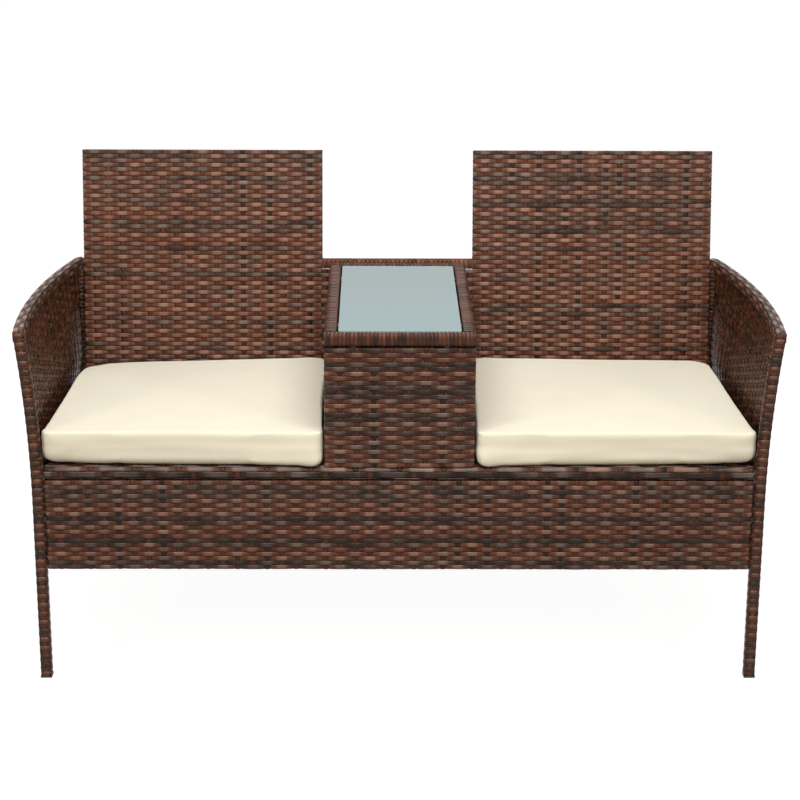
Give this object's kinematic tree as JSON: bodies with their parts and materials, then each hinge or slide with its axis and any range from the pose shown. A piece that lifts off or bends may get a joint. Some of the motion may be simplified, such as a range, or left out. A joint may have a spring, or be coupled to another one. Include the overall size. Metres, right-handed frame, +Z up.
{
  "type": "rattan bench",
  "caption": "Woven patio bench for side-by-side seating, with flared arms, a notched reclined back, loose seat cushions and a glass-topped table built in between the seats.",
  "frame": {"origin": "on the floor under the middle of the bench's box", "axes": "+X to the right as seen from the front, +Y to the back, +Z up; the seats face -Y"},
  "size_m": [1.33, 0.59, 0.845],
  "materials": {
    "frame_steel": "satin powder coat",
    "woven_strip": "satin, streaked brown",
    "cushion_fabric": "plain cream polyester",
    "table_glass": "polished float glass",
    "clear_bumper": "clear soft plastic",
    "black_plastic": "moulded",
    "bolt_steel": "zinc plated"
  },
  "bodies": {
    "bench": {"apron_bottom_rail": "frame_steel", "apron_end_posts": "frame_steel", "apron_top_rail": "frame_steel", "apron_uprights": "frame_steel", "apron_weave": "woven_strip", "apron_wrap": "woven_strip", "back_bottom_rail": "frame_steel", "back_centre_weave": "woven_strip", "back_inner_posts": "frame_steel", "back_left_weave": "woven_strip", "back_notch_rail": "frame_steel", "back_outer_posts": "frame_steel", "back_right_weave": "woven_strip", "back_stiffeners": "frame_steel", "back_top_rails": "frame_steel", "back_wrap": "woven_strip", "bolt_nuts": "bolt_steel", "bolt_washers": "bolt_steel", "foot_caps": "black_plastic", "frame_bolts": "bolt_steel", "gap_spacers": "black_plastic", "glass_bumpers": "clear_bumper", "glass_support_bars": "frame_steel", "left_arm_rail": "frame_steel", "left_arm_weave": "woven_strip", "left_arm_wrap": "woven_strip", "left_front_leg": "frame_steel", "left_lower_rail": "frame_steel", "left_rear_leg": "frame_steel", "left_side_rail": "frame_steel", "left_skirt_weave": "woven_strip", "right_arm_rail": "frame_steel", "right_arm_weave": "woven_strip", "right_arm_wrap": "woven_strip", "right_front_leg": "frame_steel", "right_lower_rail": "frame_steel", "right_rear_leg": "frame_steel", "right_side_rail": "frame_steel", "right_skirt_weave": "woven_strip", "seat_cross_bars": "frame_steel", "seat_end_rails": "frame_steel", "seat_front_rail": "frame_steel", "seat_rear_rail": "frame_steel", "seat_weave": "woven_strip", "seat_wrap": "woven_strip", "table_box_bars": "frame_steel", "table_box_wrap": "woven_strip", "table_front_rail": "frame_steel", "table_front_weave": "woven_strip", "table_left_weave": "woven_strip", "table_posts": "frame_steel", "table_rear_rail": "frame_steel", "table_right_weave": "woven_strip", "table_side_rails": "frame_steel", "table_top_wrap": "woven_strip"},
    "left_cushion": {"left_cushion": "cushion_fabric"},
    "right_cushion": {"right_cushion": "cushion_fabric"},
    "glass": {"glass_top": "table_glass"}
  },
  "joints": [
    {"name": "left_cushion_lift", "type": "slide", "parent": "bench", "child": "left_cushion", "axis": [0, 0, 1], "range_m": [0, 0.46]},
    {"name": "right_cushion_lift", "type": "slide", "parent": "bench", "child": "right_cushion", "axis": [0, 0, 1], "range_m": [0, 0.46]},
    {"name": "glass_lift", "type": "slide", "parent": "bench", "child": "glass", "axis": [0, 0, 1], "range_m": [0, 0.23]}
  ]
}
